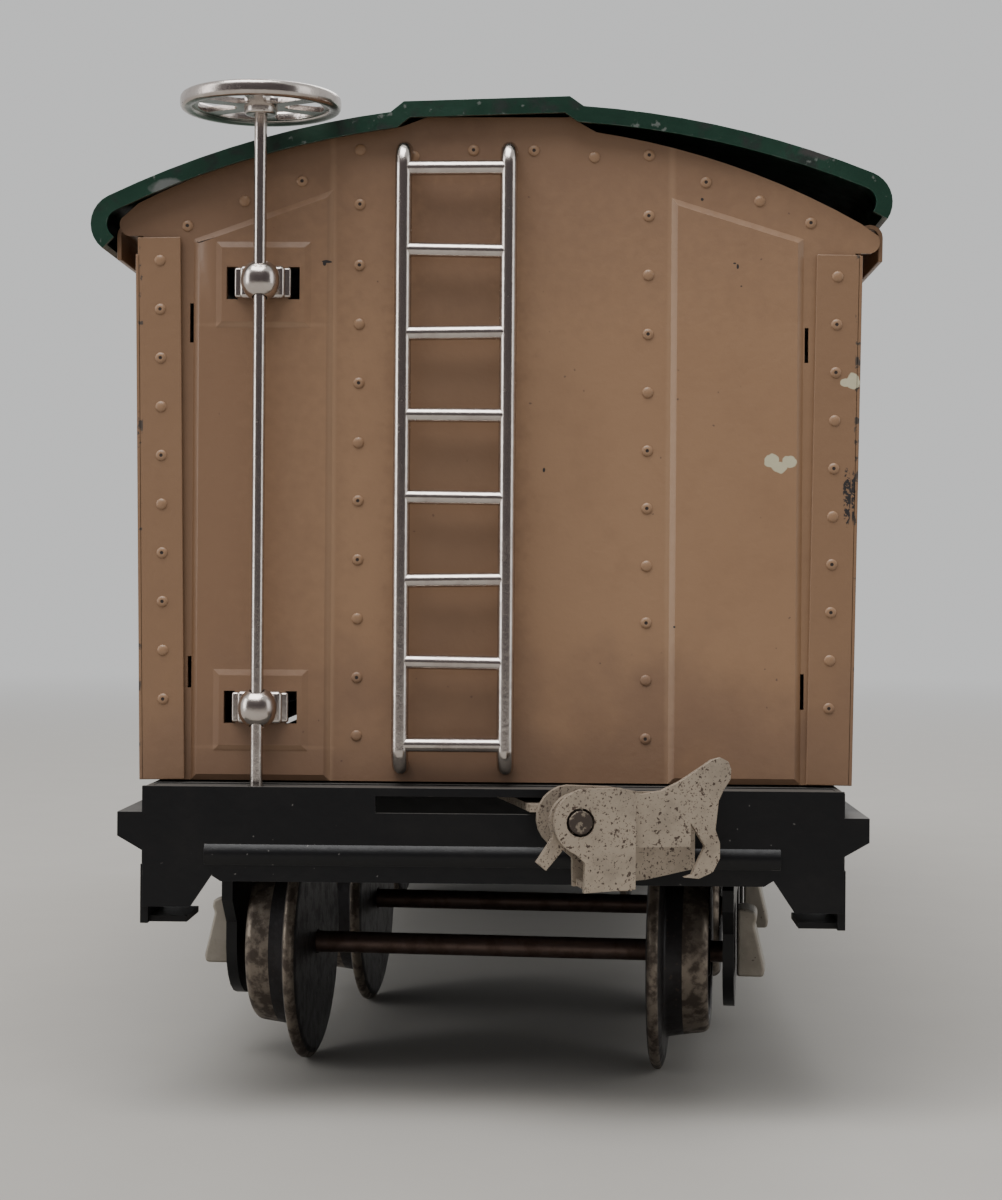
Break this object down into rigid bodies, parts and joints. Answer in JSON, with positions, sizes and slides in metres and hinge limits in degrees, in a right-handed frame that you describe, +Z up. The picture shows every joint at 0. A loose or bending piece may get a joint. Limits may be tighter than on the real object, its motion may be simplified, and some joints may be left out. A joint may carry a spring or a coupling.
{
  "type": "tinplate freight car",
  "caption": "Tinplate toy freight car for wide-gauge track, with swivelling trucks, sprung latch couplers, sliding doors, end ladders and turning brake wheels.",
  "frame": {"origin": "centre of the car on the floor plane under its wheels", "axes": "+Y along the car's length with the front end at -Y, +X to the right side, +Z up"},
  "size_m": [0.1054, 0.343, 0.1335],
  "materials": {
    "body_enamel": "aged tan enamel, satin",
    "roof_enamel": "dark green enamel, glossy, chipped",
    "frame_enamel": "black enamel, semi-gloss",
    "nickel_plate": "aged nickel plate",
    "worn_nickel": "dull nickel with rust pits",
    "wheel_metal": "gunmetal with worn treads",
    "dark_steel": "dark oiled steel"
  },
  "bodies": {
    "car_body": {"underframe": "frame_enamel", "right_side_panel": "body_enamel", "left_side_panel": "body_enamel", "front_end_panel": "body_enamel", "rear_end_panel": "body_enamel", "roof": "roof_enamel", "right_lower_door_rail": "body_enamel", "left_lower_door_rail": "body_enamel", "front_ladder": "nickel_plate", "rear_ladder": "nickel_plate", "front_lower_rod_clip": "nickel_plate", "front_upper_rod_clip": "nickel_plate", "rear_lower_rod_clip": "nickel_plate", "rear_upper_rod_clip": "nickel_plate", "front_kingpin": "dark_steel", "rear_kingpin": "dark_steel", "front_drawbar_rivet": "dark_steel", "rear_drawbar_rivet": "dark_steel", "right_front_corner_flange": "body_enamel", "right_rear_corner_flange": "body_enamel", "left_front_corner_flange": "body_enamel", "left_rear_corner_flange": "body_enamel"},
    "front_truck": {"front_truck_frame": "frame_enamel", "front_outer_right_journal_box": "worn_nickel", "front_outer_left_journal_box": "worn_nickel", "front_inner_right_journal_box": "worn_nickel", "front_inner_left_journal_box": "worn_nickel"},
    "front_outer_wheelset": {"front_outer_axle": "dark_steel", "front_outer_right_wheel": "wheel_metal", "front_outer_left_wheel": "wheel_metal"},
    "front_inner_wheelset": {"front_inner_axle": "dark_steel", "front_inner_right_wheel": "wheel_metal", "front_inner_left_wheel": "wheel_metal"},
    "front_coupler": {"front_drawbar": "worn_nickel", "front_latch_rivet": "dark_steel", "front_latch_spring": "dark_steel"},
    "front_latch": {"front_latch": "worn_nickel"},
    "front_brake_staff": {"front_brake_rod": "nickel_plate", "front_brake_wheel": "nickel_plate"},
    "rear_truck": {"rear_truck_frame": "frame_enamel", "rear_outer_right_journal_box": "worn_nickel", "rear_outer_left_journal_box": "worn_nickel", "rear_inner_right_journal_box": "worn_nickel", "rear_inner_left_journal_box": "worn_nickel"},
    "rear_outer_wheelset": {"rear_outer_axle": "dark_steel", "rear_outer_right_wheel": "wheel_metal", "rear_outer_left_wheel": "wheel_metal"},
    "rear_inner_wheelset": {"rear_inner_axle": "dark_steel", "rear_inner_right_wheel": "wheel_metal", "rear_inner_left_wheel": "wheel_metal"},
    "rear_coupler": {"rear_drawbar": "worn_nickel", "rear_latch_rivet": "dark_steel", "rear_latch_spring": "dark_steel"},
    "rear_latch": {"rear_latch": "worn_nickel"},
    "rear_brake_staff": {"rear_brake_rod": "nickel_plate", "rear_brake_wheel": "nickel_plate"},
    "right_front_door_leaf": {"right_front_door": "body_enamel"},
    "right_rear_door_leaf": {"right_rear_door": "body_enamel"},
    "left_front_door_leaf": {"left_front_door": "body_enamel"},
    "left_rear_door_leaf": {"left_rear_door": "body_enamel"}
  },
  "joints": [
    {"name": "front_truck_swivel", "type": "hinge", "parent": "car_body", "child": "front_truck", "pos_m": [0, -0.0925, 0.03675], "axis": [0, 0, 1], "range_deg": [-9.5, 20.5]},
    {"name": "front_outer_axle_spin", "type": "hinge", "parent": "front_truck", "child": "front_outer_wheelset", "pos_m": [-0.0024, -0.11739, 0.0169], "axis": [0.9954, -0.0958, 0], "continuous": true},
    {"name": "front_inner_axle_spin", "type": "hinge", "parent": "front_truck", "child": "front_inner_wheelset", "pos_m": [0.0024, -0.06761, 0.0169], "axis": [0.9954, -0.0958, 0], "continuous": true},
    {"name": "front_coupler_swing", "type": "hinge", "parent": "car_body", "child": "front_coupler", "pos_m": [0, -0.12, 0.0409], "axis": [0, 0, 1], "range_deg": [-27, 1.5]},
    {"name": "front_latch_lift", "type": "hinge", "parent": "front_coupler", "child": "front_latch", "pos_m": [0.01093, -0.16889, 0.0401], "axis": [0.2181, -0.9759, 0], "range_deg": [0, 20], "stiffness_Nm_per_rad": 0.004, "springref_deg": -8.59},
    {"name": "front_brake_staff_turn", "type": "hinge", "parent": "car_body", "child": "front_brake_staff", "pos_m": [-0.031, -0.1536, 0.09], "axis": [0, 0, 1], "continuous": true},
    {"name": "rear_truck_swivel", "type": "hinge", "parent": "car_body", "child": "rear_truck", "pos_m": [0, 0.0925, 0.03675], "axis": [0, 0, 1], "range_deg": [-9.5, 20.5]},
    {"name": "rear_outer_axle_spin", "type": "hinge", "parent": "rear_truck", "child": "rear_outer_wheelset", "pos_m": [0.0024, 0.11739, 0.0169], "axis": [0.9954, -0.0958, 0], "continuous": true},
    {"name": "rear_inner_axle_spin", "type": "hinge", "parent": "rear_truck", "child": "rear_inner_wheelset", "pos_m": [-0.0024, 0.06761, 0.0169], "axis": [0.9954, -0.0958, 0], "continuous": true},
    {"name": "rear_coupler_swing", "type": "hinge", "parent": "car_body", "child": "rear_coupler", "pos_m": [0, 0.12, 0.0409], "axis": [0, 0, 1], "range_deg": [-27, 1.5]},
    {"name": "rear_latch_lift", "type": "hinge", "parent": "rear_coupler", "child": "rear_latch", "pos_m": [-0.01093, 0.16889, 0.0401], "axis": [-0.2181, 0.9759, 0], "range_deg": [0, 20], "stiffness_Nm_per_rad": 0.004, "springref_deg": -8.59},
    {"name": "rear_brake_staff_turn", "type": "hinge", "parent": "car_body", "child": "rear_brake_staff", "pos_m": [0.031, 0.1536, 0.09], "axis": [0, 0, 1], "continuous": true},
    {"name": "right_front_door_slide", "type": "slide", "parent": "car_body", "child": "right_front_door_leaf", "axis": [0, -1, 0], "range_m": [0, 0.031]},
    {"name": "right_rear_door_slide", "type": "slide", "parent": "car_body", "child": "right_rear_door_leaf", "axis": [0, 1, 0], "range_m": [0, 0.031]},
    {"name": "left_front_door_slide", "type": "slide", "parent": "car_body", "child": "left_front_door_leaf", "axis": [0, -1, 0], "range_m": [0, 0.031]},
    {"name": "left_rear_door_slide", "type": "slide", "parent": "car_body", "child": "left_rear_door_leaf", "axis": [0, 1, 0], "range_m": [0, 0.031]}
  ]
}
